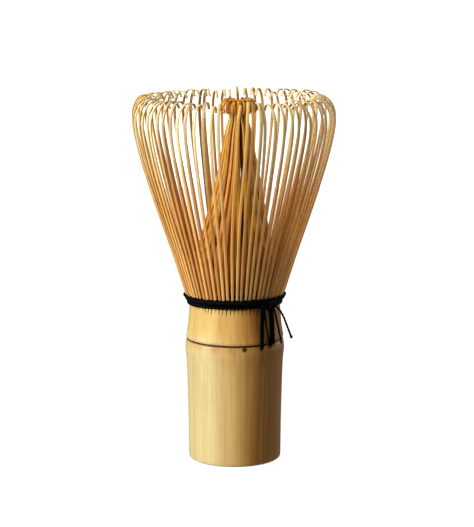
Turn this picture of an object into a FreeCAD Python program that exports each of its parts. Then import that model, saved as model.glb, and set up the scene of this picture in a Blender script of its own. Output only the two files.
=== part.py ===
import FreeCAD, Part
import math
import os
import Sketcher

# Bamboo tea whisk.  One culm of bamboo makes the handle, the node and every tine:
# the wall above the collar is split into 144 strips, pared thin, and every other
# strip is bent outward or inward.  A black thread woven round the strip roots
# keeps the two rings apart.  Millimetres, +Z up, origin at the centre of the base.

Vec = FreeCAD.Vector
doc = FreeCAD.newDocument("tea_whisk")

DIMS = {
    # handle, outside, from the cut base up to the split collar
    "base_chamfer_radius": 13.70,
    "base_radius": 14.12,
    "base_chamfer_height": 0.45,
    "below_ridge_radius": 14.86,
    "below_ridge_height": 32.4,
    "side_middle_radius": 14.32,
    "side_middle_height": 16.5,
    "ridge_end_radius": 14.80,
    "ridge_end_height": 36.9,
    "ridge_curve_radius": 6.6,
    "groove_low_height": 37.35,
    "groove_top_height": 37.95,
    "groove_top_radius": 14.87,
    "groove_curve_radius": 0.36,
    "collar_top_radius": 13.62,
    "collar_height": 47.90,
    "collar_low_radius": 14.33,
    "collar_low_height": 41.4,
    "collar_mid_radius": 13.97,
    "collar_mid_height": 44.7,
    # handle, inside: a bore from below, the node wall, a shallow well above it
    "bore_radius": 9.60,
    "bore_mouth_radius": 10.05,
    "bore_mouth_height": 0.60,
    "node_wall_low": 35.40,
    "node_wall_top": 38.60,
    "node_flat_radius": 4.0,
    "node_slope_radius": 7.6,
    "node_slope_top": 39.15,
    "bore_shoulder_radius": 8.3,
    "bore_shoulder_height": 34.5,
    "well_floor_radius": 10.30,
    "well_floor_height": 40.40,
    "well_radius": 11.35,
    # slits that run down into the collar below the thread, one per outer tine
    "slit_count": 72,
    "slit_half_width": 0.13,
    "slit_length": 1.05,
    "slit_depth": 1.30,
    # the whole ring of tines
    "root_height": 48.08,
    "tines_per_group": 4,
    "tine_spread": 15.0,
    "group_angle": 20.0,
    # outer tines: a thin strip with a long wedge of culm skin left on its outside
    "outer_root_radius": 13.02,
    "outer_strip": 0.36,
    "outer_width": 0.72,
    "outer_flare_radius": 3.0,
    "outer_flare_turn": 35.0,
    "outer_settle_radius": 9.0,
    "outer_settle_turn": 16.4,
    "outer_shaft_length": 43.3,
    "outer_crown_radius": 38.0,
    "outer_crown_turn": 18.6,
    "outer_shoulder_radius": 8.4,
    "outer_shoulder_turn": 35.8,
    "outer_arch_radius": 4.0,
    "outer_arch_turn": 54.2,
    "outer_hook_radius": 2.3,
    "outer_hook_turn": 58.0,
    "outer_tip_length": 1.10,
    "skin_foot_radius": 14.92,
    "skin_foot_height": 50.75,
    "skin_foot_inner": 13.62,
    "skin_bend_radius": 14.52,
    "skin_bend_height": 52.15,
    "skin_end_radius": 28.56,
    "skin_end_height": 93.45,
    "skin_end_inner": 28.38,
    # inner tines, alternately in a front and a back layer where the cone is tight
    "inner_root_radius": 12.25,
    "inner_strip": 0.36,
    "front_width": 0.50,
    "back_width": 0.36,
    "inner_rise": 7.9,
    "inner_bend_radius": 49.5,
    "front_bend_turn": 11.40,
    "back_bend_turn": 12.30,
    "front_shaft": 39.0,
    "back_shaft": 38.5,
    "neck_radius": 10.0,
    "front_stem": 2.65,
    "back_stem": 2.55,
    "front_hook_radius": 0.85,
    "back_hook_radius": 1.58,
    "front_hook_turn": 172.0,
    "back_hook_turn": 104.0,
    "front_tip_length": 1.60,
    "back_tip_length": 0.45,
    "layer_offset": 5.0,
    "layer_spread": 10.0,
    # the black thread
    "wrap_thread_radius": 0.375,
    "wrap_lower_radius": 13.60,
    "wrap_lower_height": 48.43,
    "wrap_middle_radius": 13.86,
    "wrap_middle_height": 49.18,
    "wrap_upper_radius": 14.34,
    "wrap_upper_height": 49.82,
    "weave_thread_radius": 0.45,
    "weave_ring_radius": 13.12,
    "weave_height": 51.00,
    # knot and loose ends, hung on a plane that touches the handle
    "knot_azimuth": 40.0,
    "knot_distance": 15.66,
    "knot_height": 49.15,
    "knot_end_reach": 2.35,
    "knot_end_radius": 0.46,
    "knot_valley_reach": 0.80,
    "knot_valley_radius": 0.68,
    "knot_coil_curve": 0.98,
    "tail_plane": 15.70,
    "tail_top_height": 48.05,
}

sheet = doc.addObject("Spreadsheet::Sheet", "dims")


def put(alias, value):
    row = put.row
    sheet.set("A%d" % row, alias)
    sheet.set("B%d" % row, repr(value))
    sheet.setAlias("B%d" % row, alias)
    put.row = row + 1


put.row = 1
for key in DIMS:
    put(key, DIMS[key])

# loose thread ends: side offset at the knot, thread radius, straight drop, bend
# radius, signed bend in degrees, end length, twist of the plane it hangs in
TAILS = [
    (-2.70, 0.36, 5.0, 60.0, 1.5, 5.0, 2.0),
    (-1.75, 0.24, 2.0, 30.0, -9.0, 5.0, 4.0),
    (0.45, 0.44, 3.0, 40.0, -6.0, 3.6, 2.0),
    (1.60, 0.25, 1.2, 22.0, -20.0, 3.2, 4.0),
    (2.60, 0.25, 0.5, 9.0, -33.0, 4.4, -14.0),
]
TAIL_WORDS = ["side", "thread", "drop", "bend", "turn", "ending", "finish"]
for number, tail in enumerate(TAILS):
    for word, value in zip(TAIL_WORDS, tail):
        put("tail%s_%s" % ("abcde"[number], word), value)
doc.recompute()


def dim(alias):
    return float(sheet.get(alias))


def origin_part(body, role):
    for feature in body.Origin.OriginFeatures:
        if feature.Role == role:
            return feature
    raise RuntimeError("no origin feature " + role)


def new_body(label):
    body = doc.addObject("PartDesign::Body", label)
    body.Label = label
    body.AllowCompound = True
    return body


def new_sketch(body, name, role, offset=None):
    sketch = body.newObject("Sketcher::SketchObject", name)
    sketch.AttachmentSupport = [(origin_part(body, role), "")]
    sketch.MapMode = "FlatFace"
    if offset is not None:
        sketch.AttachmentOffset = offset
    doc.recompute()
    return sketch


def bind(sketch, constraint, alias, sign="", unit=""):
    index = sketch.addConstraint(constraint)
    name = "c%d_%s" % (index, alias)
    sketch.renameConstraint(index, name)
    expression = "%sdims.%s%s" % (sign, alias, unit)
    sketch.setExpression("Constraints." + name, expression)


def pin(sketch, geo, pos, x_alias, y_alias):
    """Fix one point of a sketch at two named distances from the origin."""
    bind(sketch, Sketcher.Constraint("DistanceX", -1, 1, geo, pos, dim(x_alias)), x_alias)
    bind(sketch, Sketcher.Constraint("DistanceY", -1, 1, geo, pos, dim(y_alias)), y_alias)


def arc_step(x, y, heading, radius, turn):
    """A counter-clockwise arc that leaves (x, y) at a heading and turns."""
    angle = math.radians(heading)
    side = -1.0 if turn < 0 else 1.0
    cx = x + side * radius * math.cos(angle)
    cy = y - side * radius * math.sin(angle)
    first = math.atan2(y - cy, x - cx)
    last = first - math.radians(turn)
    ex = cx + radius * math.cos(last)
    ey = cy + radius * math.sin(last)
    low, high = (first, last) if turn < 0 else (last, first)
    circle = Part.Circle(Vec(cx, cy, 0), Vec(0, 0, 1), radius)
    return Part.ArcOfCircle(circle, low, high), ex, ey


def spine(body, name, start, heading, steps, offset=None):
    """A tangent chain of lines and arcs in the plane X-Z, driven by the sheet.

    start is a pair of aliases; each step is ("line", length) or
    ("arc", radius, turn, sign) with aliases and the side of the turn.
    """
    sketch = new_sketch(body, name, "XZ_Plane", offset)
    x = dim(start[0])
    y = dim(start[1])
    first_heading = heading
    shapes = []
    ends = []
    for step in steps:
        if step[0] == "line":
            angle = math.radians(heading)
            nx = x + dim(step[1]) * math.sin(angle)
            ny = y + dim(step[1]) * math.cos(angle)
            shapes.append(Part.LineSegment(Vec(x, y, 0), Vec(nx, ny, 0)))
            ends.append((1, 2))
        else:
            turn = step[3] * dim(step[2])
            shape, nx, ny = arc_step(x, y, heading, dim(step[1]), turn)
            shapes.append(shape)
            ends.append((1, 2) if turn < 0 else (2, 1))
            heading += turn
        x = nx
        y = ny
    sketch.addGeometry(shapes, False)
    for index in range(len(steps) - 1):
        joint = (index, ends[index][1], index + 1, ends[index + 1][0])
        sketch.addConstraint(Sketcher.Constraint("Tangent", *joint))
    pin(sketch, 0, ends[0][0], start[0], start[1])
    for index, step in enumerate(steps):
        if step[0] == "line":
            bind(sketch, Sketcher.Constraint("Distance", index, dim(step[1])), step[1])
        else:
            radius = dim(step[1])
            bind(sketch, Sketcher.Constraint("Radius", index, radius), step[1])
            value = math.radians(abs(dim(step[2])))
            sign = "-" if dim(step[2]) < 0 else ""
            constraint = Sketcher.Constraint("Angle", index, value)
            bind(sketch, constraint, step[2], sign, " * 1 deg")
    if steps[0][0] == "line":
        sketch.addConstraint(Sketcher.Constraint("Vertical", 0))
    else:
        # the first arc starts upright, so its centre is level with the start
        sketch.addConstraint(Sketcher.Constraint("Horizontal", 0, ends[0][0], 0, 3))
    doc.recompute()
    if first_heading not in (0.0, 180.0):
        raise RuntimeError("a spine starts upright")
    return sketch


def strip_section(body, name, radius_alias, strip_alias, width_alias, turn=0.0):
    """The rectangle a strip has where it leaves the collar."""
    lift = FreeCAD.Rotation(Vec(0, 0, 1), turn)
    offset = FreeCAD.Placement(Vec(0, 0, dim("root_height")), lift)
    sketch = new_sketch(body, name, "XY_Plane", offset)
    sketch.setExpression("AttachmentOffset.Base.z", "dims.root_height")
    outside = dim(radius_alias)
    inside = outside - dim(strip_alias)
    half = 0.5 * dim(width_alias)
    corners = [(inside, -half), (outside, -half), (outside, half), (inside, half)]
    lines = []
    for index in range(4):
        a = corners[index]
        b = corners[(index + 1) % 4]
        lines.append(Part.LineSegment(Vec(a[0], a[1], 0), Vec(b[0], b[1], 0)))
    sketch.addGeometry(lines, False)
    for index in range(4):
        joint = (index, 2, (index + 1) % 4, 1)
        sketch.addConstraint(Sketcher.Constraint("Coincident", *joint))
    for index in (0, 2):
        sketch.addConstraint(Sketcher.Constraint("Horizontal", index))
    sketch.addConstraint(Sketcher.Constraint("Vertical", 3))
    sketch.addConstraint(Sketcher.Constraint("Symmetric", 1, 1, 1, 2, -1))
    bind(sketch, Sketcher.Constraint("Distance", 1, 2 * half), width_alias)
    bind(sketch, Sketcher.Constraint("Distance", 0, outside - inside), strip_alias)
    bind(sketch, Sketcher.Constraint("DistanceX", -1, 1, 0, 2, outside), radius_alias)
    doc.recompute()
    return sketch


def sweep(body, name, section, path):
    pipe = body.newObject("PartDesign::AdditivePipe", name)
    pipe.Profile = section
    pipe.Spine = (path, [])
    section.Visibility = False
    path.Visibility = False
    doc.recompute()
    return pipe


def polar(body, name, originals, angle, count_alias, angle_alias):
    pattern = body.newObject("PartDesign::PolarPattern", name)
    pattern.Originals = originals
    pattern.Axis = (origin_part(body, "Z_Axis"), [""])
    pattern.Angle = angle
    if angle_alias:
        pattern.setExpression("Angle", "dims.%s * 1 deg" % angle_alias)
    if count_alias:
        pattern.Occurrences = int(dim(count_alias))
        pattern.setExpression("Occurrences", "dims." + count_alias)
    else:
        pattern.Occurrences = 2
    body.Tip = pattern
    doc.recompute()
    return pattern


def polygon(sketch, corners):
    """A closed run of lines with every corner pinned at two aliases."""
    lines = []
    count = len(corners)
    for index in range(count):
        a = corners[index]
        b = corners[(index + 1) % count]
        start = Vec(dim(a[0]), dim(a[1]), 0)
        end = Vec(dim(b[0]), dim(b[1]), 0)
        lines.append(Part.LineSegment(start, end))
    sketch.addGeometry(lines, False)
    for index in range(count):
        joint = (index, 2, (index + 1) % count, 1)
        sketch.addConstraint(Sketcher.Constraint("Coincident", *joint))
    for index in range(count):
        pin(sketch, index, 1, corners[index][0], corners[index][1])
    doc.recompute()


def outline(sketch, corners, hollow):
    """A closed run of lines and arcs, each corner pinned to the sheet.

    A corner is (x alias, y alias, alias of the curve radius on to the next corner).
    None is zero, or a straight line; a minus before an x alias puts it to the left.
    Curves named in hollow bend inward, the others bulge.
    """
    points = []
    for corner in corners:
        x = 0.0
        if corner[0]:
            x = dim(corner[0].lstrip("-")) * (-1.0 if corner[0][0] == "-" else 1.0)
        y = dim(corner[1]) if corner[1] else 0.0
        points.append(Vec(x, y, 0))
    shapes = []
    joints = []
    for index, corner in enumerate(corners):
        a = points[index]
        b = points[(index + 1) % len(points)]
        if corner[2] is None:
            shapes.append(Part.LineSegment(a, b))
            joints.append((1, 2))
            continue
        radius = dim(corner[2])
        middle = (a + b) * 0.5
        chord = b - a
        normal = Vec(chord.y, -chord.x, 0).normalize()
        reach = math.sqrt(radius ** 2 - (0.5 * chord.Length) ** 2)
        side = 1.0 if corner[2] in hollow else -1.0
        centre = middle + normal * (reach * side)
        circle = Part.Circle(centre, Vec(0, 0, 1), radius)
        first = math.atan2(a.y - centre.y, a.x - centre.x)
        last = math.atan2(b.y - centre.y, b.x - centre.x)
        joints.append((1, 2))
        if side > 0:
            first, last = last, first
            joints[-1] = (2, 1)
        if last < first:
            last += 2 * math.pi
        shapes.append(Part.ArcOfCircle(circle, first, last))
    sketch.addGeometry(shapes, False)
    count = len(corners)
    for index in range(count):
        after = (index + 1) % count
        joint = (index, joints[index][1], after, joints[after][0])
        sketch.addConstraint(Sketcher.Constraint("Coincident", *joint))
    for index, corner in enumerate(corners):
        pos = joints[index][0]
        x_alias = corner[0]
        if x_alias and x_alias[0] == "-":
            value = abs(points[index].x)
            fix = Sketcher.Constraint("DistanceX", index, pos, -1, 1, value)
            bind(sketch, fix, x_alias[1:])
        elif x_alias:
            fix = Sketcher.Constraint("DistanceX", -1, 1, index, pos, points[index].x)
            bind(sketch, fix, x_alias)
        else:
            sketch.addConstraint(Sketcher.Constraint("PointOnObject", index, pos, -2))
        if corner[1]:
            fix = Sketcher.Constraint("DistanceY", -1, 1, index, pos, points[index].y)
            bind(sketch, fix, corner[1])
        else:
            sketch.addConstraint(Sketcher.Constraint("PointOnObject", index, pos, -1))
        if corner[2]:
            fix = Sketcher.Constraint("Radius", index, dim(corner[2]))
            bind(sketch, fix, corner[2])
    doc.recompute()


def revolve(body, name, sketch, axis="Z_Axis"):
    turn = body.newObject("PartDesign::Revolution", name)
    turn.Profile = sketch
    turn.ReferenceAxis = (origin_part(body, axis), [""])
    turn.Angle = 360.0
    sketch.Visibility = False
    doc.recompute()
    return turn


# ---------------------------------------------------------------- handle
def make_handle():
    body = new_body("handle_culm")
    # the outline stands midway between two slits, so no slit meets the turned seam
    aside = FreeCAD.Placement(Vec(0, 0, 0), FreeCAD.Rotation(Vec(0, 1, 0), 2.5))
    sketch = new_sketch(body, "culm_outline", "XZ_Plane", aside)
    # corners: radius alias (or None for the axis), height alias (or None for the base),
    # and the alias of the curve radius that leads on to the next corner
    corners = [
        ("base_chamfer_radius", None, None),
        ("base_radius", "base_chamfer_height", None),
        ("side_middle_radius", "side_middle_height", None),
        ("below_ridge_radius", "below_ridge_height", "ridge_curve_radius"),
        ("ridge_end_radius", "ridge_end_height", None),
        ("ridge_end_radius", "groove_low_height", "groove_curve_radius"),
        ("groove_top_radius", "groove_top_height", None),
        ("collar_low_radius", "collar_low_height", None),
        ("collar_mid_radius", "collar_mid_height", None),
        ("collar_top_radius", "collar_height", None),
        ("well_radius", "collar_height", None),
        ("well_floor_radius", "well_floor_height", None),
        ("node_slope_radius", "node_slope_top", None),
        ("node_flat_radius", "node_wall_top", None),
        (None, "node_wall_top", None),
        (None, "node_wall_low", None),
        ("node_flat_radius", "node_wall_low", None),
        ("bore_shoulder_radius", "bore_shoulder_height", None),
        ("bore_radius", "below_ridge_height", None),
        ("bore_radius", "bore_mouth_height", None),
        ("bore_mouth_radius", None, None),
    ]
    outline(sketch, corners, {"groove_curve_radius"})
    revolve(body, "culm_turned", sketch)
    before = body.Shape.Volume
    slit = new_sketch(body, "slit_outline", "XZ_Plane")
    half = dim("slit_half_width")
    top = dim("collar_height")
    foot = top - dim("slit_length")
    shapes = [
        Part.LineSegment(Vec(-half, top, 0), Vec(0, foot, 0)),
        Part.LineSegment(Vec(0, foot, 0), Vec(half, top, 0)),
        Part.LineSegment(Vec(half, top, 0), Vec(-half, top, 0)),
    ]
    slit.addGeometry(shapes, False)
    for index in range(3):
        joint = (index, 2, (index + 1) % 3, 1)
        slit.addConstraint(Sketcher.Constraint("Coincident", *joint))
    slit.addConstraint(Sketcher.Constraint("PointOnObject", 0, 2, -2))
    slit.addConstraint(Sketcher.Constraint("Symmetric", 0, 1, 2, 1, -2))
    fix = Sketcher.Constraint("DistanceX", -1, 1, 2, 1, half)
    bind(slit, fix, "slit_half_width")
    fix = Sketcher.Constraint("DistanceY", -1, 1, 0, 1, top)
    bind(slit, fix, "collar_height")
    fix = Sketcher.Constraint("DistanceY", 0, 2, 0, 1, top - foot)
    bind(slit, fix, "slit_length")
    # the cut starts on a plane just outside the collar and goes 1.3 mm in
    start = dim("collar_top_radius") + 0.3
    slit.AttachmentOffset = FreeCAD.Placement(Vec(0, 0, start), FreeCAD.Rotation())
    slit.setExpression("AttachmentOffset.Base.z", "dims.collar_top_radius + 0.3")
    doc.recompute()
    pocket = body.newObject("PartDesign::Pocket", "slit")
    pocket.Profile = slit
    pocket.Length = dim("slit_depth") + 0.3
    pocket.setExpression("Length", "dims.slit_depth + 0.3")
    slit.Visibility = False
    doc.recompute()
    if before - body.Shape.Volume < 0.01:
        pocket.Reversed = True
        doc.recompute()
    if before - body.Shape.Volume < 0.01:
        raise RuntimeError("the slit cuts nothing")
    polar(body, "slits", [pocket], 360.0, "slit_count", None)
    return body


# ---------------------------------------------------------------- tines
OUTER_STEPS = [
    ("arc", "outer_flare_radius", "outer_flare_turn", 1),
    ("arc", "outer_settle_radius", "outer_settle_turn", -1),
    ("line", "outer_shaft_length"),
    ("arc", "outer_crown_radius", "outer_crown_turn", -1),
    ("arc", "outer_shoulder_radius", "outer_shoulder_turn", -1),
    ("arc", "outer_arch_radius", "outer_arch_turn", -1),
    ("arc", "outer_hook_radius", "outer_hook_turn", -1),
    ("line", "outer_tip_length"),
]


def make_outer_group(number):
    body = new_body("outer_tines_%02d" % number)
    path = spine(body, "outer_path", ("outer_root_radius", "root_height"), 0.0, OUTER_STEPS)
    section = strip_section(body, "outer_section", "outer_root_radius", "outer_strip", "outer_width")
    strip = sweep(body, "outer_strip_sweep", section, path)
    skin = new_sketch(body, "skin_outline", "XZ_Plane")
    corners = [
        ("skin_foot_inner", "skin_foot_height"),
        ("skin_foot_radius", "skin_foot_height"),
        ("skin_end_radius", "skin_end_height"),
        ("skin_end_inner", "skin_end_height"),
        ("skin_bend_radius", "skin_bend_height"),
    ]
    polygon(skin, corners)
    pad = body.newObject("PartDesign::Pad", "skin_wedge")
    pad.Profile = skin
    pad.Midplane = True
    pad.Length = dim("outer_width")
    pad.setExpression("Length", "dims.outer_width")
    skin.Visibility = False
    doc.recompute()
    polar(body, "outer_set", [strip, pad], 15.0, "tines_per_group", "tine_spread")
    angle = dim("group_angle") * (number - 1) - 0.5 * dim("tine_spread") - 90.0
    body.Placement = FreeCAD.Placement(Vec(0, 0, 0), FreeCAD.Rotation(Vec(0, 0, 1), angle))
    return body


def inner_steps(layer):
    return [
        ("line", "inner_rise"),
        ("arc", "inner_bend_radius", layer + "_bend_turn", -1),
        ("line", layer + "_shaft"),
        ("arc", "neck_radius", layer + "_bend_turn", 1),
        ("line", layer + "_stem"),
        ("arc", layer + "_hook_radius", layer + "_hook_turn", 1),
        ("line", layer + "_tip_length"),
    ]


def make_inner_group(number):
    body = new_body("inner_tines_%02d" % number)
    start = ("inner_root_radius", "root_height")
    for layer, turn in (("front", 0.0), ("back", dim("layer_offset"))):
        tilt = FreeCAD.Placement(Vec(0, 0, 0), FreeCAD.Rotation(Vec(0, 1, 0), turn))
        path = spine(body, layer + "_path", start, 0.0, inner_steps(layer), tilt)
        section = strip_section(body, layer + "_section", "inner_root_radius", "inner_strip",
                                layer + "_width", turn)
        strip = sweep(body, layer + "_sweep", section, path)
        polar(body, layer + "_set", [strip], 10.0, None, "layer_spread")
    spread = dim("layer_spread") + dim("layer_offset")
    angle = dim("group_angle") * (number - 1) - 0.5 * spread - 90.0
    body.Placement = FreeCAD.Placement(Vec(0, 0, 0), FreeCAD.Rotation(Vec(0, 0, 1), angle + 2.5))
    return body


# ---------------------------------------------------------------- thread
def make_ring(label, thread_alias, radius_alias, height_alias):
    body = new_body(label)
    sketch = new_sketch(body, "thread_round", "XZ_Plane")
    centre = Vec(dim(radius_alias), dim(height_alias), 0)
    circle = Part.Circle(centre, Vec(0, 0, 1), dim(thread_alias))
    sketch.addGeometry([circle], False)
    pin(sketch, 0, 3, radius_alias, height_alias)
    bind(sketch, Sketcher.Constraint("Radius", 0, dim(thread_alias)), thread_alias)
    doc.recompute()
    revolve(body, "thread_turn", sketch)
    return body


def knot_frame(distance, height, extra=0.0, side=0.0):
    """X along the handle's tangent to the right, Y toward the axis, Z up."""
    azimuth = math.radians(dim("knot_azimuth"))
    out = Vec(math.sin(azimuth), -math.cos(azimuth), 0)
    along = Vec(math.cos(azimuth), math.sin(azimuth), 0)
    base = out * distance + along * side + Vec(0, 0, height)
    return FreeCAD.Placement(base, FreeCAD.Rotation(Vec(0, 0, 1), dim("knot_azimuth") + extra))


def make_knot():
    """Three snug coils side by side, lying along the handle's tangent."""
    body = new_body("thread_knot")
    sketch = new_sketch(body, "knot_outline", "XZ_Plane")
    corners = [
        ("-knot_end_reach", None, None),
        ("knot_end_reach", None, None),
        ("knot_end_reach", "knot_end_radius", "knot_coil_curve"),
        ("knot_valley_reach", "knot_valley_radius", "knot_coil_curve"),
        ("-knot_valley_reach", "knot_valley_radius", "knot_coil_curve"),
        ("-knot_end_reach", "knot_end_radius", None),
    ]
    outline(sketch, corners, set())
    revolve(body, "knot_coils", sketch, "X_Axis")
    body.Placement = knot_frame(dim("knot_distance"), dim("knot_height"))
    return body


def make_tail(number):
    letter = "abcde"[number]
    body = new_body("thread_tail_%d" % (number + 1))
    key = "tail%s_" % letter
    steps = [("line", key + "drop")]
    sign = 1 if dim(key + "turn") > 0 else -1
    steps.append(("arc", key + "bend", key + "turn", 1))
    steps.append(("line", key + "ending"))
    path = tail_path(body, key, steps, sign)
    section = new_sketch(body, "thread_round", "XY_Plane")
    radius = dim(key + "thread")
    section.addGeometry([Part.Circle(Vec(0, 0, 0), Vec(0, 0, 1), radius)], False)
    section.addConstraint(Sketcher.Constraint("Coincident", 0, 3, -1, 1))
    bind(section, Sketcher.Constraint("Radius", 0, radius), key + "thread")
    doc.recompute()
    sweep(body, "thread_sweep", section, path)
    side = dim(key + "side")
    twist = dim(key + "finish")
    body.Placement = knot_frame(dim("tail_plane"), dim("tail_top_height"), twist, side)
    return body


def tail_path(body, key, steps, sign):
    """A strand that drops from the knot, bends once and runs straight to its end."""
    sketch = new_sketch(body, "tail_path", "XZ_Plane")
    drop = dim(key + "drop")
    radius = dim(key + "bend")
    turn = dim(key + "turn")
    arc, x, y = arc_step(0.0, -drop, 180.0, radius, turn)
    heading = math.radians(180.0 + turn)
    length = dim(key + "ending")
    end = Vec(x + length * math.sin(heading), y + length * math.cos(heading), 0)
    shapes = [
        Part.LineSegment(Vec(0, 0, 0), Vec(0, -drop, 0)),
        arc,
        Part.LineSegment(Vec(x, y, 0), end),
    ]
    sketch.addGeometry(shapes, False)
    near, far = (1, 2) if turn < 0 else (2, 1)
    sketch.addConstraint(Sketcher.Constraint("Coincident", 0, 1, -1, 1))
    sketch.addConstraint(Sketcher.Constraint("Vertical", 0))
    sketch.addConstraint(Sketcher.Constraint("Tangent", 0, 2, 1, near))
    sketch.addConstraint(Sketcher.Constraint("Tangent", 1, far, 2, 1))
    bind(sketch, Sketcher.Constraint("Distance", 0, drop), key + "drop")
    bind(sketch, Sketcher.Constraint("Radius", 1, radius), key + "bend")
    value = math.radians(abs(turn))
    sign_text = "-" if turn < 0 else ""
    bind(sketch, Sketcher.Constraint("Angle", 1, value), key + "turn", sign_text, " * 1 deg")
    bind(sketch, Sketcher.Constraint("Distance", 2, length), key + "ending")
    doc.recompute()
    return sketch


# ---------------------------------------------------------------- build
nodes = [make_handle()]
for number in range(1, 19):
    nodes.append(make_outer_group(number))
for number in range(1, 19):
    nodes.append(make_inner_group(number))
for place in ("lower", "middle", "upper"):
    ring = make_ring("thread_wrap_" + place, "wrap_thread_radius",
                     "wrap_%s_radius" % place, "wrap_%s_height" % place)
    nodes.append(ring)
nodes.append(make_ring("thread_inner_weave", "weave_thread_radius", "weave_ring_radius",
                       "weave_height"))
nodes.append(make_knot())
for number in range(len(TAILS)):
    nodes.append(make_tail(number))

doc.recompute()
for item in doc.Objects:
    if "Invalid" in item.State or "Error" in item.State:
        raise RuntimeError("%s is in state %s" % (item.Label, item.State))

os.makedirs("parts", exist_ok=True)
for node in nodes:
    shape = node.Shape
    if shape.isNull() or not shape.isValid():
        raise RuntimeError(node.Label + " has no valid shape")
    shape.exportStep("parts/%s.step" % node.Label)
    box = shape.BoundBox
    print("%-20s solids %2d volume %9.2f  z %.2f .. %.2f  r %.2f" % (
        node.Label, len(shape.Solids), shape.Volume, box.ZMin, box.ZMax,
        max(abs(box.XMin), abs(box.XMax), abs(box.YMin), abs(box.YMax))))
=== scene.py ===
import math
import random

import bpy
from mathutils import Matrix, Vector


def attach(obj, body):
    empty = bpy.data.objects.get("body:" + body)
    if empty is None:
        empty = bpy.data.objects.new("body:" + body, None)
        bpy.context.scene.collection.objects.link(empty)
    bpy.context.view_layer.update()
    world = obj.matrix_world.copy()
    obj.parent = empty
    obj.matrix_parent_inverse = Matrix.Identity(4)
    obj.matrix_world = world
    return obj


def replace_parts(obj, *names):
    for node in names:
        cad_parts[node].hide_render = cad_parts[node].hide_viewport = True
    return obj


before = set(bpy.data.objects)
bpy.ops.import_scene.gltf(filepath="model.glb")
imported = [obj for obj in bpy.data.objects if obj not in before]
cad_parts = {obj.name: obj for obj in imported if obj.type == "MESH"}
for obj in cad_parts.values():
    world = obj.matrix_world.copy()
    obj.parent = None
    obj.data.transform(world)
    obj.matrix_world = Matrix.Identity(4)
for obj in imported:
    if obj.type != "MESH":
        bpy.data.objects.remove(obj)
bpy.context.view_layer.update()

MM = 0.001
TAU = 2.0 * math.pi
GROUPS = 18            # sets of tines that bend together
TINES_PER_GROUP = 4
GROUP_ANGLE = 20.0     # degrees from one set to the next
TINE_ANGLE = 5.0       # degrees from one tine to the next
FIRST_TINE = -7.5      # first tine of a set, degrees from the middle of the set
FRONT = -90.0          # azimuth of the side that faces the camera, degrees
seeded = random.Random(4711)


# ------------------------------------------------------------- small helpers
def smoothstep(low, high, value):
    t = min(1.0, max(0.0, (value - low) / (high - low)))
    return t * t * (3.0 - 2.0 * t)


def mix(a, b, t):
    return a + (b - a) * t


def catmull(points, steps):
    """A smooth run through points (tuples of equal length)."""
    out = []
    count = len(points)
    for i in range(count - 1):
        p0 = points[max(i - 1, 0)]
        p1 = points[i]
        p2 = points[i + 1]
        p3 = points[min(i + 2, count - 1)]
        for s in range(steps):
            t = s / steps
            row = []
            for a, b, c, d in zip(p0, p1, p2, p3):
                row.append(0.5 * (2 * b + (c - a) * t + (2 * a - 5 * b + 4 * c - d) * t * t
                                  + (3 * b - a - 3 * c + d) * t ** 3))
            out.append(tuple(row))
    out.append(tuple(points[-1]))
    return out


class Builder:
    """Collects vertices, faces and one colour per vertex for one mesh."""

    def __init__(self):
        self.verts = []
        self.faces = []
        self.data = []

    def loft(self, rings, data, loop=False):
        """rings: lists of points; data: one (r, g, b) or list of them per ring.
        A loop closes on itself, any other run gets an end face at both ends."""
        base = len(self.verts)
        n = len(rings[0])
        for ring, values in zip(rings, data):
            for k, p in enumerate(ring):
                self.verts.append(p)
                self.data.append(values[k] if isinstance(values, list) else values)
        m = len(rings)
        for i in range(m if loop else m - 1):
            a = base + i * n
            b = base + ((i + 1) % m) * n
            for k in range(n):
                k2 = (k + 1) % n
                self.faces.append((a + k, a + k2, b + k2, b + k))
        if not loop:
            self.faces.append(tuple(base + k for k in reversed(range(n))))
            self.faces.append(tuple(base + (m - 1) * n + k for k in range(n)))

    def make(self, name, material):
        mesh = bpy.data.meshes.new(name)
        mesh.from_pydata([tuple(v) for v in self.verts], [], self.faces)
        layer = mesh.color_attributes.new("grain", "FLOAT_COLOR", "POINT")
        for i, d in enumerate(self.data):
            layer.data[i].color = (d[0], d[1], d[2], 1.0)
        mesh.validate()
        mesh.update()
        mesh.shade_smooth()
        mesh.materials.append(material)
        obj = bpy.data.objects.new(name, mesh)
        bpy.context.scene.collection.objects.link(obj)
        return obj


# ---------------------------------------------------------------- materials
def new_material(name):
    mat = bpy.data.materials.new(name)
    mat.use_nodes = True
    nodes = mat.node_tree.nodes
    nodes.clear()
    out = nodes.new("ShaderNodeOutputMaterial")
    shader = nodes.new("ShaderNodeBsdfPrincipled")
    mat.node_tree.links.new(shader.outputs[0], out.inputs[0])
    return mat, nodes, mat.node_tree.links, shader


def ramp(nodes, stops):
    node = nodes.new("ShaderNodeValToRGB")
    elements = node.color_ramp.elements
    while len(elements) > 1:
        elements.remove(elements[-1])
    for i, (pos, col) in enumerate(stops):
        element = elements[0] if i == 0 else elements.new(pos)
        element.position = pos
        element.color = (*col, 1.0)
    return node


def mixer(nodes, links, kind, a, b, fac):
    node = nodes.new("ShaderNodeMix")
    node.data_type = "RGBA"
    node.blend_type = kind
    for socket, value in ((node.inputs[6], a), (node.inputs[7], b), (node.inputs[0], fac)):
        if hasattr(value, "is_linked"):
            links.new(value, socket)
        elif isinstance(value, (int, float)):
            socket.default_value = value
        else:
            socket.default_value = (*value, 1.0)
    return node.outputs[2]


def math_node(nodes, links, op, a, b=None):
    node = nodes.new("ShaderNodeMath")
    node.operation = op
    for i, value in enumerate((a, b)):
        if value is None:
            continue
        if isinstance(value, (int, float)):
            node.inputs[i].default_value = value
        else:
            links.new(value, node.inputs[i])
    return node.outputs[0]


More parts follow.
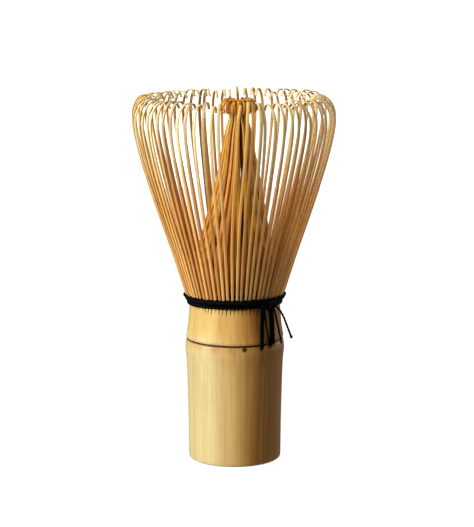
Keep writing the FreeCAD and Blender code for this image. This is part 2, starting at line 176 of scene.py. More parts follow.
def noise(nodes, links, vector, scale, detail=3.0, rough=0.55):
    node = nodes.new("ShaderNodeTexNoise")
    node.inputs["Scale"].default_value = scale
    node.inputs["Detail"].default_value = detail
    node.inputs["Roughness"].default_value = rough
    links.new(vector, node.inputs["Vector"])
    return node


def mapped(nodes, links, vector, scale):
    node = nodes.new("ShaderNodeMapping")
    node.inputs["Scale"].default_value = scale
    links.new(vector, node.inputs["Vector"])
    return node.outputs[0]


def place(nodes, links):
    """A point of the object as a vector, and split into x, y and z."""
    coord = nodes.new("ShaderNodeTexCoord")
    split = nodes.new("ShaderNodeSeparateXYZ")
    links.new(coord.outputs["Object"], split.inputs[0])
    return coord.outputs["Object"], split.outputs


def grain(nodes, links):
    """The three values that every point of a mesh carries."""
    attr = nodes.new("ShaderNodeAttribute")
    attr.attribute_name = "grain"
    sep = nodes.new("ShaderNodeSeparateColor")
    links.new(attr.outputs["Color"], sep.inputs[0])
    return sep.outputs


def bumped(nodes, links, shader, height, strength, distance):
    """Fine relief on a material."""
    bump = nodes.new("ShaderNodeBump")
    bump.inputs["Strength"].default_value = strength
    bump.inputs["Distance"].default_value = distance
    links.new(height, bump.inputs["Height"])
    links.new(bump.outputs[0], shader.inputs["Normal"])


def tine_material(name, root, middle, tip, dark):
    """Split bamboo: colour runs from root to tip, each tine has its own tint,
    the skin side is smooth and the split sides show fine fibres."""
    mat, nodes, links, shader = new_material(name)
    tint, along, skin = grain(nodes, links)
    grad = ramp(nodes, [(0.0, root), (0.48, middle), (0.74, tip), (1.0, tip)])
    links.new(along, grad.inputs[0])
    coord, _ = place(nodes, links)
    fibres = mapped(nodes, links, coord, (2600.0, 2600.0, 60.0))
    fibre = noise(nodes, links, fibres, 1.0, 3.0, 0.6)
    patches = mapped(nodes, links, coord, (260.0, 260.0, 28.0))
    patch = noise(nodes, links, patches, 1.0, 2.0, 0.5)
    shade = ramp(nodes, [(0.0, (0.60, 0.56, 0.50)), (0.5, (1.0, 0.98, 0.94)),
                         (1.0, (1.18, 1.16, 1.10))])
    links.new(tint, shade.inputs[0])
    base = mixer(nodes, links, "MULTIPLY", grad.outputs[0], shade.outputs[0], 1.0)
    streak = ramp(nodes, [(0.36, (0.0, 0.0, 0.0)), (0.66, (1.0, 1.0, 1.0))])
    links.new(fibre.outputs["Fac"], streak.inputs[0])
    fibred = mixer(nodes, links, "MIX", dark, base, streak.outputs[0])
    base = mixer(nodes, links, "MIX", base, fibred, 0.22)
    blot = ramp(nodes, [(0.35, (0.86, 0.80, 0.70)), (0.62, (1.04, 1.02, 1.0))])
    links.new(patch.outputs["Fac"], blot.inputs[0])
    base = mixer(nodes, links, "MULTIPLY", base, blot.outputs[0], 0.8)
    # the inner face and inner halves of the sides of each tine are darker: partly the split
    # flesh's own colour, partly painted shade on the rounded edges and between the tines
    flesh_and_edge_shade = mixer(nodes, links, "MULTIPLY", base, (0.84, 0.68, 0.48), 1.0)
    colour = mixer(nodes, links, "MIX", flesh_and_edge_shade, base, skin)
    links.new(colour, shader.inputs["Base Color"])
    rough = math_node(nodes, links, "MULTIPLY", skin, -0.18)
    rough = math_node(nodes, links, "ADD", rough, 0.60)
    links.new(rough, shader.inputs["Roughness"])
    shader.inputs["Specular IOR Level"].default_value = 0.24
    shader.inputs["Subsurface Weight"].default_value = 0.75
    shader.inputs["Subsurface Radius"].default_value = (1.0, 0.80, 0.52)
    shader.inputs["Subsurface Scale"].default_value = 0.0010
    bumped(nodes, links, shader, fibre.outputs["Fac"], 0.35, 0.00006)
    return mat


def culm_material():
    """Waxy bamboo skin: fine vertical fibres, wide tone bands, stains at the node."""
    mat, nodes, links, shader = new_material("bamboo_culm")
    cut, node_line_and_slit_shade, scraped = grain(nodes, links)
    coord, axes = place(nodes, links)

    def upright(across, along, detail, rough):
        vector = mapped(nodes, links, coord, (across, across, along))
        return noise(nodes, links, vector, 1.0, detail, rough)

    streaks = upright(700.0, 5.0, 3.0, 0.6)
    wide = upright(120.0, 3.0, 2.0, 0.5)
    fine = upright(1500.0, 16.0, 4.0, 0.65)
    hair = upright(3600.0, 70.0, 2.0, 0.6)
    blotch = upright(210.0, 60.0, 4.0, 0.6)
    tone = ramp(nodes, [(0.28, (0.70, 0.49, 0.20)), (0.46, (0.78, 0.61, 0.29)),
                        (0.60, (0.82, 0.67, 0.34)), (0.76, (0.84, 0.71, 0.40))])
    links.new(wide.outputs["Fac"], tone.inputs[0])
    # painted shade: the +x side of the culm, away from the key light, is painted browner and
    # darker in fine upright streaks; partly the culm's own browner tone
    split = math_node(nodes, links, "MULTIPLY", axes[0], 40.0)
    split = math_node(nodes, links, "ADD", split, 0.48)
    uneven = math_node(nodes, links, "MULTIPLY", streaks.outputs["Fac"], 0.55)
    split = math_node(nodes, links, "ADD", split, uneven)
    split = math_node(nodes, links, "SUBTRACT", split, 0.275)
    browner_shade_side = ramp(nodes, [(0.0, (0.88, 0.92, 0.90)), (0.24, (1.0, 1.0, 1.0)),
                         (0.48, (0.97, 0.80, 0.55)), (0.70, (0.84, 0.50, 0.21)),
                         (0.90, (0.44, 0.22, 0.060))])
    links.new(split, browner_shade_side.inputs[0])
    base = mixer(nodes, links, "MULTIPLY", tone.outputs[0], browner_shade_side.outputs[0], 1.0)
    streak = ramp(nodes, [(0.32, (0.72, 0.58, 0.40)), (0.50, (0.97, 0.95, 0.91)),
                          (0.70, (1.04, 1.04, 1.02))])
    links.new(fine.outputs["Fac"], streak.inputs[0])
    base = mixer(nodes, links, "MULTIPLY", base, streak.outputs[0], 0.42)
    hairs = ramp(nodes, [(0.30, (0.84, 0.76, 0.62)), (0.50, (1.0, 1.0, 1.0))])
    links.new(hair.outputs["Fac"], hairs.inputs[0])
    base = mixer(nodes, links, "MULTIPLY", base, hairs.outputs[0], 0.16)
    # orange stain gathers along the ridge under the node line
    rise = math_node(nodes, links, "SUBTRACT", axes[2], 0.0367)
    rise = math_node(nodes, links, "ABSOLUTE", rise)
    rise = math_node(nodes, links, "MULTIPLY", rise, -430.0)
    rise = math_node(nodes, links, "ADD", rise, 1.0)
    rise = math_node(nodes, links, "MAXIMUM", rise, 0.0)
    patches = ramp(nodes, [(0.38, (0.28, 0.28, 0.28)), (0.62, (1.0, 1.0, 1.0))])
    links.new(blotch.outputs["Fac"], patches.inputs[0])
    spread = math_node(nodes, links, "MULTIPLY", rise, patches.outputs[0])
    base = mixer(nodes, links, "MIX", base, (0.50, 0.23, 0.055), spread)
    stain = ramp(nodes, [(0.44, (1.0, 1.0, 1.0)), (0.70, (0.90, 0.72, 0.48))])
    links.new(blotch.outputs["Fac"], stain.inputs[0])
    base = mixer(nodes, links, "MULTIPLY", base, stain.outputs[0], 0.35)
    # a small dark bud scar under the line
    scar = nodes.new("ShaderNodeVectorMath")
    scar.operation = "DISTANCE"
    links.new(coord, scar.inputs[0])
    scar.inputs[1].default_value = (0.0030, -0.0146, 0.0367)
    mark = ramp(nodes, [(0.0, (1.0, 1.0, 1.0)), (0.62, (0.95, 0.95, 0.95)),
                        (1.0, (0.0, 0.0, 0.0))])
    reach = math_node(nodes, links, "MULTIPLY", scar.outputs["Value"], 1050.0)
    links.new(reach, mark.inputs[0])
    base = mixer(nodes, links, "MIX", base, (0.05, 0.018, 0.005), mark.outputs[0])
    # scraped band under the thread is a little warmer and matt
    warm = mixer(nodes, links, "MULTIPLY", base, (0.98, 0.86, 0.62), 1.0)
    base = mixer(nodes, links, "MIX", base, warm, scraped)
    # cut faces: paler flesh with dark fibre ends
    ends = nodes.new("ShaderNodeTexVoronoi")
    ends.inputs["Scale"].default_value = 2100.0
    links.new(coord, ends.inputs["Vector"])
    pores = ramp(nodes, [(0.12, (0.33, 0.19, 0.08)), (0.34, (0.78, 0.62, 0.36))])
    links.new(ends.outputs["Distance"], pores.inputs[0])
    base = mixer(nodes, links, "MIX", base, pores.outputs[0], cut)
    # near-black for the dark node line, and painted shade in the saw cuts
    dark = mixer(nodes, links, "MIX", (0.060, 0.026, 0.006), (0.12, 0.055, 0.014),
                 blotch.outputs["Fac"])
    colour = mixer(nodes, links, "MIX", base, dark, node_line_and_slit_shade)
    links.new(colour, shader.inputs["Base Color"])
    rough = math_node(nodes, links, "MULTIPLY", fine.outputs["Fac"], 0.20)
    rough = math_node(nodes, links, "ADD", rough, 0.28)
    matt = math_node(nodes, links, "MULTIPLY", cut, 0.25)
    rough = math_node(nodes, links, "ADD", rough, matt)
    dull = math_node(nodes, links, "MULTIPLY", node_line_and_slit_shade, 0.45)
    rough = math_node(nodes, links, "ADD", rough, dull)
    links.new(rough, shader.inputs["Roughness"])
    gloss = math_node(nodes, links, "SUBTRACT", 1.0, node_line_and_slit_shade)
    gloss = math_node(nodes, links, "MULTIPLY", gloss, 0.30)
    links.new(gloss, shader.inputs["Specular IOR Level"])
    shader.inputs["Coat Weight"].default_value = 0.10
    shader.inputs["Coat Roughness"].default_value = 0.30
    bumped(nodes, links, shader, fine.outputs["Fac"], 0.30, 0.00012)
    return mat


def thread_material():
    """Black cotton: charcoal with fine fuzz and a faint sheen."""
    mat, nodes, links, shader = new_material("black_cotton")
    coord, _ = place(nodes, links)
    fuzz = noise(nodes, links, coord, 9000.0, 3.0, 0.7)
    tone = ramp(nodes, [(0.30, (0.0006, 0.0005, 0.0005)), (0.75, (0.0036, 0.0030, 0.0028))])
    links.new(fuzz.outputs["Fac"], tone.inputs[0])
    links.new(tone.outputs[0], shader.inputs["Base Color"])
    rough = math_node(nodes, links, "MULTIPLY", fuzz.outputs["Fac"], 0.25)
    rough = math_node(nodes, links, "ADD", rough, 0.62)
    links.new(rough, shader.inputs["Roughness"])
    shader.inputs["Specular IOR Level"].default_value = 0.07
    shader.inputs["Sheen Weight"].default_value = 0.006
    shader.inputs["Sheen Roughness"].default_value = 0.5
    bumped(nodes, links, shader, fuzz.outputs["Fac"], 0.5, 0.00005)
    return mat


OUTER = tine_material("bamboo_outer_tine", (0.93, 0.53, 0.18), (0.90, 0.52, 0.16),
                      (0.90, 0.75, 0.43), (0.44, 0.18, 0.04))
# inner tines are painted near-black at the root, lightening upward: painted shade deep in the
# cone behind the outer tines
INNER_SHADED_ROOT = tine_material("bamboo_inner_tine_shaded_root", (0.34, 0.11, 0.014), (0.90, 0.42, 0.05),
                      (0.90, 0.46, 0.08), (0.32, 0.11, 0.015))
CULM = culm_material()
THREAD = thread_material()


# ------------------------------------------------------------------- tines
CORNER = 0.10          # mm, rounding of the edges of a tine
CORNER_STEPS = 2


def section_ring(centre, out, side, width, thick):
    """A rounded rectangle: width along side, thick along out, centred."""
    pts = []
    vals = []
    hw = 0.5 * width
    ht = 0.5 * thick
    corner = min(CORNER, 0.9 * hw, 0.9 * ht)
    for sx, sy, start in ((1, 1, 0), (-1, 1, 90), (-1, -1, 180), (1, -1, 270)):
        for q in range(CORNER_STEPS + 1):
            a = math.radians(start + 90.0 * q / CORNER_STEPS)
            x = sx * (hw - corner) + corner * math.cos(a)
            y = sy * (ht - corner) + corner * math.sin(a)
            pts.append(centre + side * (x * MM) + out * (y * MM))
            vals.append(1.0 if sy > 0 else 0.0)
    return pts, vals


def tine(builder, line, azimuth, tint, pale=1.0):
    """line: (outer-face radius, height, side drift in mm, width, thickness);
    pale: how far along the run of colours the tip gets."""
    a = math.radians(azimuth)
    e_r = Vector((math.cos(a), math.sin(a), 0.0))
    e_t = Vector((-math.sin(a), math.cos(a), 0.0))
    up = Vector((0.0, 0.0, 1.0))
    points = [e_r * (p[0] * MM) + e_t * (p[2] * MM) + up * (p[1] * MM) for p in line]
    rings = []
    data = []
    count = len(points)
    length = [0.0]
    for i in range(1, count):
        length.append(length[-1] + (points[i] - points[i - 1]).length)
    for i, p in enumerate(points):
        t = (points[min(i + 1, count - 1)] - points[max(i - 1, 0)]).normalized()
        side = e_t - t * e_t.dot(t)
        side.normalize()
        out = t.cross(side) * -1.0
        if i == 0:
            flip = 1.0 if out.dot(e_r) > 0 else -1.0
        out *= flip
        width = line[i][3]
        thick = line[i][4]
        centre = p - out * (0.5 * thick * MM)
        ring, skin = section_ring(centre, out, side, width, thick)
        rings.append(ring)
        s = pale * length[i] / length[-1]
        data.append([(tint, s, v) for v in skin])
    builder.loft(rings, data)


OUTER_SIDE = [  # (radius of the outer face, height) from root to hooked tip
    (13.02, 48.05), (13.12, 48.9), (13.42, 49.8), (14.05, 50.7), (14.95, 51.2),
    (15.60, 52.8), (17.25, 58.0), (19.55, 65.2), (22.0, 72.4), (24.45, 79.8),
    (26.65, 86.8), (28.50, 93.2), (29.65, 98.0), (30.35, 101.6), (30.60, 104.6),
    (30.42, 106.9), (29.85, 108.6), (29.00, 110.0), (28.05, 110.9), (26.95, 111.45),
    (25.75, 111.65), (24.90, 111.45), (24.22, 110.95), (23.75, 110.3), (23.30, 109.5),
]
OUTER_SIZE = [  # (height, width, thickness)
    (48.0, 0.62, 0.45), (50.2, 0.66, 0.55), (51.2, 0.74, 0.90), (60.0, 0.82, 0.84),
    (80.0, 0.84, 0.64), (95.0, 0.86, 0.52), (106.0, 0.88, 0.48),
]


def sized(table, height):
    if height <= table[0][0]:
        return table[0][1:]
    for low, high in zip(table, table[1:]):
        if height <= high[0]:
            t = (height - low[0]) / (high[0] - low[0])
            return tuple(mix(a, b, t) for a, b in zip(low[1:], high[1:]))
    return table[-1][1:]


# the front tines stand apart at one place: (group, tine): lean to the right in mm
LEANING = {(17, 3): -0.35, (0, 0): -0.7, (0, 1): 2.5, (0, 2): 1.85, (0, 3): 1.25,
           (1, 0): 0.95, (1, 1): 0.1}
LESS_PALE = 0.55       # how far along their colour the tines that lean most get
TURN = 0.45            # degrees, most that a tine stands beside its even place
SHOULDER = 104.6       # mm, height where the hook begins
STRAY = 0.42           # mm, most that a tine drifts to one side
TIP_STRAY = 0.5        # mm, most that a tip turns to one side
EDGE_FREE = 0.65       # share of that for a tine next to another set


def outer_line(rand, azimuth, lean, free):
    """One outer tine with its own lean, spread, hook and width."""
    spread = rand.gauss(0.0, 0.22) + 0.4 * max(0.0, -math.cos(math.radians(azimuth)))
    drift = max(-STRAY, min(STRAY, rand.gauss(0.0, 0.28))) * free + lean
    curl = rand.gauss(0.0, 0.40)
    tall = rand.gauss(-0.1, 0.30)
    broad = 1.0 + rand.gauss(0.0, 0.05)
    thin = 1.0 + rand.gauss(0.0, 0.06)
    tip = max(-TIP_STRAY, min(TIP_STRAY, rand.gauss(0.0, 0.40))) * free
    pts = []
    run = catmull(OUTER_SIDE, 4)
    past = 0.0
    for i, (r, z) in enumerate(run):
        t = smoothstep(52.0, 108.0, z) if not past else 1.0
        if i and (z > SHOULDER or past):
            past += math.hypot(r - run[i - 1][0], z - run[i - 1][1])
        hook = smoothstep(0.0, 9.0, past)
        rr = r + spread * t - curl * 0.55 * hook
        zz = z + tall * t - 0.25 * curl * hook
        side = drift * t * t + tip * hook * hook
        w, h = sized(OUTER_SIZE, min(z, 106.0) if not past else 106.0)
        w *= mix(1.0, broad, t) * mix(1.0, 0.90, hook)
        h *= mix(1.0, thin, t) * mix(1.0, 0.80, hook)
        pts.append((rr, zz, side, w, h))
    return pts


# inner tines stand alternately in a front and a back layer
INNER_FRONT = [  # (radius of the outer face, height) from root to the curled tip
    (12.30, 48.08), (12.38, 50.0), (12.44, 53.0), (12.38, 57.0), (12.10, 61.0),
    (11.40, 65.5), (9.85, 72.0), (7.95, 80.0), (6.30, 88.0), (4.80, 96.0),
    (3.80, 101.6), (3.02, 104.4), (2.82, 106.0), (3.02, 107.5), (3.55, 108.85),
    (4.16, 109.5), (4.72, 109.4), (5.04, 108.8), (5.12, 108.0), (4.94, 107.2), (4.60, 106.6),
]
INNER_BACK = [
    (12.30, 48.08), (12.34, 50.0), (12.28, 53.0), (12.12, 57.0), (11.76, 61.0),
    (10.98, 65.5), (9.32, 72.0), (7.38, 80.0), (5.70, 88.0), (4.15, 96.0),
    (3.14, 101.8), (2.46, 104.6), (2.30, 106.2), (2.40, 107.6), (2.74, 108.9),
    (3.15, 109.75), (3.75, 110.1), (4.30, 110.0),
]
INNER_SIZE = [  # (height, width, thickness); the back layer is a tenth narrower
    (48.0, 0.62, 0.36), (52.0, 0.92, 0.80), (64.0, 0.98, 0.95), (80.0, 0.92, 0.80),
    (88.0, 0.86, 0.66), (96.0, 0.66, 0.52), (103.0, 0.50, 0.44), (106.0, 0.58, 0.46),
    (112.0, 0.74, 0.58),
]
BETWEEN = 2.5          # degrees that inner tines stand beside the outer ones
CONE_LEAN = 1.15       # mm that the head of the cone stands to the right of the axis


def inner_line(rand, side_points, broad, offset, lean, azimuth):
    """One inner tine.  offset is its angle from the middle of its set of four: up
    the cone the set draws together into one strand, which leans to one side."""
    drift = rand.gauss(0.0, 0.22)
    wave = rand.gauss(0.0, 0.24)
    phase = rand.uniform(0.0, TAU)
    lift = rand.gauss(0.0, 0.12)
    pts = []
    for r, z in catmull(side_points, 4):
        t = smoothstep(50.0, 72.0, z) * (1.0 - smoothstep(97.0, 105.0, z) * 0.75)
        gather = smoothstep(58.0, 84.0, z)
        side = drift * t + wave * t * math.sin(phase + z * 0.11)
        pull = 0.20 * gather + 0.42 * smoothstep(97.0, 106.0, z)
        side -= math.radians(offset) * r * pull
        side += lean * gather * (1.0 - smoothstep(99.0, 106.0, z))
        rr = r + 0.16 * t * math.sin(phase * 1.7 + z * 0.09)
        aside = CONE_LEAN * smoothstep(62.0, 92.0, z)
        rr += aside * math.cos(math.radians(azimuth))
        side -= aside * math.sin(math.radians(azimuth))
        w, h = sized(INNER_SIZE, z)
        pts.append((rr, z + lift * smoothstep(100.0, 110.0, z), side, w * broad, h))
    return pts


for g in range(GROUPS):
    node = "outer_tines_%02d" % (g + 1)
    build = Builder()
    for k in range(TINES_PER_GROUP):
        azimuth = FRONT + GROUP_ANGLE * g + FIRST_TINE + TINE_ANGLE * k
        free = 1.0 if k in (1, 2) else EDGE_FREE
        lean = LEANING.get((g, k), 0.0)
        line = outer_line(seeded, azimuth, lean, free)
        pale = LESS_PALE if lean > 1.0 else 1.0
        turned = max(-TURN, min(TURN, seeded.gauss(0.0, 0.35)))
        tine(build, line, azimuth + turned, seeded.random(), pale=pale)
    piece = build.make("outer_tine_set_%02d" % (g + 1), OUTER)
    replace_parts(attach(piece, "outer_set_%02d" % (g + 1)), node)

for g in range(GROUPS):
    node = "inner_tines_%02d" % (g + 1)
    build = Builder()
    strand_lean = seeded.gauss(0.0, 0.28)
    for k in range(TINES_PER_GROUP):
        offset = FIRST_TINE + TINE_ANGLE * k
        front = k % 2 == 0
        even = FRONT + BETWEEN + GROUP_ANGLE * g + offset
        line = inner_line(seeded, INNER_FRONT if front else INNER_BACK, 1.0 if front else 0.9,
                          offset, strand_lean, even)
        tine(build, line, even + seeded.gauss(0.0, 0.5), seeded.random())
    piece = build.make("inner_tine_set_%02d" % (g + 1), INNER_SHADED_ROOT)
    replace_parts(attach(piece, "inner_set_%02d" % (g + 1)), node)


# ------------------------------------------------------------------ handle
CULM_OUTSIDE = [  # (radius, height)
    (11.0, 0.0), (13.55, 0.0), (13.86, 0.07), (14.05, 0.25), (14.12, 0.6), (14.14, 1.5),
    (14.19, 5.0), (14.24, 11.0), (14.37, 17.5), (14.52, 23.0), (14.63, 27.0), (14.77, 30.5),
    (14.93, 32.6), (15.10, 33.9), (15.16, 34.8), (15.08, 35.8), (14.96, 36.5),
    (14.88, 37.02), (14.80, 37.28), (14.48, 37.42), (14.38, 37.62), (14.48, 37.80),
    (14.80, 37.95), (14.88, 38.15), (14.80, 38.7), (14.62, 39.9), (14.40, 41.3), (14.20, 43.0),
    (14.06, 44.6), (14.00, 45.6), (13.97, 46.2), (13.94, 46.6), (13.92, 46.95), (13.89, 47.25),
    (13.86, 47.5), (13.82, 47.75), (13.76, 48.0), (13.62, 48.15), (13.40, 48.15),
    (13.32, 48.0), (13.30, 47.92), (12.6, 47.9), (11.9, 47.9), (11.45, 47.7), (11.2, 46.0),
    (10.9, 43.6), (10.3, 40.6), (8.9, 39.7), (6.0, 39.0), (3.0, 38.7), (0.02, 38.6),
]
CULM_INSIDE = [
    (0.02, 35.4), (3.0, 35.35), (6.0, 35.05), (8.3, 34.4), (9.3, 33.2), (9.6, 31.6),
    (9.62, 22.0), (9.6, 12.0), (9.6, 3.0), (9.65, 1.2), (9.9, 0.2), (11.0, 0.0),
]
STEPS_PER_SLIT = 10
SLITS = 72             # one saw cut at every outer tine
SLIT_DEPTH = 0.34      # mm
SLIT_FLOOR = 13.46     # mm, radius that no cut goes below
FRONT_LIP = 0.75       # mm that the cut edge stands higher at the front
NODE_LINE = 37.6       # mm, height of the dark line round the culm
NODE_DARK = (37.4, 37.85)   # mm, the line is dark between these heights
NODE_SHADE = (37.2, 38.0)   # mm, and shaded out to these


def culm():
    """The handle: turned outline, uneven as grown, with the ends of the saw cuts."""
    build = Builder()
    around_steps = SLITS * STEPS_PER_SLIT
    rings = []
    data = []
    rand = random.Random(99)
    bumps = [(rand.uniform(0, TAU), rand.uniform(0.01, 0.05), k) for k in (2, 3, 5, 9, 17)]
    slit_foot = [rand.choice((47.3, 47.0, 46.7, 47.4)) - rand.uniform(0.0, 0.4)
                 for _ in range(SLITS)]
    full = CULM_INSIDE[:-1] + CULM_OUTSIDE
    first_outside = len(CULM_INSIDE) - 1
    for index, (r, z) in enumerate(full):
        outside = index >= first_outside and r > 13.28
        ring = []
        row = []
        for s in range(around_steps):
            a = TAU * s / around_steps
            rr = r
            zz = z
            node_line_and_slit_shade = 0.0
            if outside and NODE_DARK[0] < z < NODE_DARK[1]:
                node_line_and_slit_shade = 1.0
            elif outside and NODE_SHADE[0] < z < NODE_SHADE[1]:
                node_line_and_slit_shade = 0.35
            front = max(0.0, -math.sin(a)) ** 2
            if outside and z > 47.2:
                zz += FRONT_LIP * front * smoothstep(47.2, 48.1, z)
            if outside and 0.5 < z < 47.0:
                rr += sum(amp * math.sin(k * a + ph) for ph, amp, k in bumps) * 0.5
                wave = 0.16 * math.sin(a + 0.7) + 0.07 * math.sin(3 * a + 1.9)
                near = math.exp(-((z - NODE_LINE) / 3.0) ** 2)
                zz += wave * near
            # the saw cuts, and one step either side of each, are painted near-black: painted
            # shade in the slits
            if outside and z > 45.5 and r > 13.5:
                number, step = divmod(s + STEPS_PER_SLIT // 2, STEPS_PER_SLIT)
                away = abs(step - STEPS_PER_SLIT // 2)
                foot = slit_foot[number % SLITS]
                if away == 0 and z > foot:
                    cut_in = SLIT_DEPTH * smoothstep(foot, foot + 0.7, z)
                    rr -= min(cut_in, rr - SLIT_FLOOR)
                    node_line_and_slit_shade = smoothstep(foot, foot + 0.35, z)
                elif away == 1:
                    node_line_and_slit_shade = 0.85 * smoothstep(foot + 0.3, foot + 1.2, z)
            ring.append(Vector((rr * math.cos(a) * MM, rr * math.sin(a) * MM, zz * MM)))
            cut = 0.0 if outside and 0.3 < z < 48.1 else 1.0
            row.append((cut, node_line_and_slit_shade, smoothstep(38.0, 41.0, z) if outside else 0.0))
        rings.append(ring)
        data.append(row)
    build.loft(rings, data)
    piece = build.make("culm_handle", CULM)
    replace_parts(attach(piece, "handle_and_thread"), "handle_culm")


culm()


# ------------------------------------------------------------------ thread
LOOP_STEPS = 1152      # points along one turn of thread
LOOP_SIDES = 8
LOOP_PLIES = 2
LOOP_TWISTS = 150      # twists of the thread in one turn
PLAIN = (0.5, 0.5, 0.5)


def tube_loop(build, centre_at, radius):
    """A twisted thread along a closed curve: the section is lobed and turns."""
    points = [centre_at(i / LOOP_STEPS) for i in range(LOOP_STEPS)]
    rings = []
    data = []
    for i, p in enumerate(points):
        t = (points[(i + 1) % LOOP_STEPS] - points[i - 1]).normalized()
        e = Vector((p.x, p.y, 0.0)).normalized()
        n = (e - t * e.dot(t)).normalized()
        b = t.cross(n)
        ring = []
        for s in range(LOOP_SIDES):
            a = TAU * s / LOOP_SIDES
            lobe = 1.0 + 0.16 * math.cos(LOOP_PLIES * a + TAU * LOOP_TWISTS * i / LOOP_STEPS)
            ring.append(p + (n * math.cos(a) + b * math.sin(a)) * (radius * lobe * MM))
        rings.append(ring)
        data.append(PLAIN)
    build.loft(rings, data, loop=True)


# the band of thread isn't level
BAND_LIFT = 0.35       # mm, all round
BAND_TILT = 0.60       # mm, up at the front and down at the back
BAND_SWAY = 0.12       # mm, up at the right and down at the left
ROOM_HEIGHT = 48.1     # mm, above this the thread leaves a little room for the tines
ROOM_SHARE = 0.045     # mm of room per mm of height


def outer_face(z):
    """Radius of the outer face of the tine roots at a height."""
    for (r0, z0), (r1, z1) in zip(OUTER_SIDE, OUTER_SIDE[1:7]):
        if z0 <= z <= z1:
            return mix(r0, r1, (z - z0) / (z1 - z0))
    return OUTER_SIDE[0][0]


def snug(height, a, radius, thread):
    """How far a turn is pushed out so that it lies on the flare of the tines."""
    z = height + BAND_LIFT - BAND_TILT * math.sin(a)
    need = radius
    for q in range(-2, 7):
        tilt = math.radians(15.0 * q)
        at = z + thread * math.sin(tilt)
        room = ROOM_SHARE * max(0.0, at - ROOM_HEIGHT)
        need = max(need, outer_face(at) + thread * math.cos(tilt) + room)
    return need - radius


def wrap(label, node, turns, inside=False):
    """Turns of thread round the roots, each (radius, height, thread radius, waviness,
    phase, how far it dips between the tines); inside runs behind the outer tines."""
    build = Builder()
    for radius, height, thread, wave, phase, bite in turns:
        def centre(t):
            a = TAU * t
            reach = radius + wave * math.cos(SLITS * a + phase)
            if not inside:
                reach += snug(height, a, radius, thread)
            lift = BAND_LIFT - BAND_TILT * math.sin(a) + BAND_SWAY * math.cos(a)
            lift += 0.10 * math.sin(36.0 * a + phase) + bite * math.cos(SLITS * a)
            return Vector((reach * math.cos(a) * MM, reach * math.sin(a) * MM,
                           (height + lift) * MM))

        tube_loop(build, centre, thread)
    piece = build.make(label, THREAD)
    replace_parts(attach(piece, "handle_and_thread"), node)


wrap("binding_turn_lower", "thread_wrap_lower", [(14.10, 48.42, 0.47, 0.05, 0.0, -0.14)])
wrap("binding_turn_middle", "thread_wrap_middle", [(14.22, 49.22, 0.50, 0.06, 1.6, 0.0)])
wrap("binding_turn_upper", "thread_wrap_upper", [(14.62, 50.02, 0.50, 0.07, 3.1, 0.0),
                                                 (15.02, 50.62, 0.34, 0.06, 0.8, 0.12)])
wrap("binding_inner_turn", "thread_inner_weave", [(13.08, 51.50, 0.38, 0.05, 0.4, 0.0)],
     inside=True)


KNOT_AZIMUTH = math.radians(40.0)
KNOT_OUT = Vector((math.sin(KNOT_AZIMUTH), -math.cos(KNOT_AZIMUTH), 0.0))
KNOT_ALONG = Vector((math.cos(KNOT_AZIMUTH), math.sin(KNOT_AZIMUTH), 0.0))


def by_knot(side, distance, height):
    """A point in mm: side to the right along the handle, distance from its axis."""
    distance += 0.15 * smoothstep(48.0, 49.0, height)
    return (KNOT_OUT * distance + KNOT_ALONG * side) * MM + Vector((0.0, 0.0, height * MM))


def strand(build, points, radius, sides=10, plies=3, lay=2.6, thin_end=1.0):
    """An open twisted thread through points; lay is the length of one twist in mm."""
    normal = None
    run = 0.0
    rings = []
    data = []
    last = len(points) - 1
    for i, p in enumerate(points):
        t = (points[min(i + 1, last)] - points[max(i - 1, 0)]).normalized()
        if normal is None:
            normal = t.orthogonal().normalized()
        normal = (normal - t * normal.dot(t)).normalized()
        side = t.cross(normal)
        if i:
            run += (p - points[i - 1]).length / MM
        size = radius * mix(1.0, thin_end, smoothstep(0.7, 1.0, i / last))
        ring = []
        for s in range(sides):
            a = TAU * s / sides
            lobe = 1.0 + 0.15 * math.cos(plies * (a + TAU * run / (lay * plies)))
            ring.append(p + (normal * math.cos(a) + side * math.sin(a)) * (size * lobe * MM))
        rings.append(ring)
        data.append(PLAIN)
    build.loft(rings, data)


def frayed(build, end, heading, radius, count, length, rand):
    """Loose fibres at a cut end."""
    for _ in range(count):
        away = Vector((rand.gauss(0, 1), rand.gauss(0, 1), rand.gauss(0, 0.5))).normalized()
        start = end + away * (radius * 0.45 * MM)
        tip = start + heading * (length * rand.uniform(0.5, 1.0) * MM)
        tip += away * (rand.uniform(0.15, 0.55) * length * 0.6 * MM)
        middle = (start + tip) * 0.5 + heading * (0.12 * length * MM)
        line = [Vector(v) for v in catmull([tuple(start), tuple(middle), tuple(tip)], 3)]
        strand(build, line, 0.055, 5, 2, 9.0, 0.5)


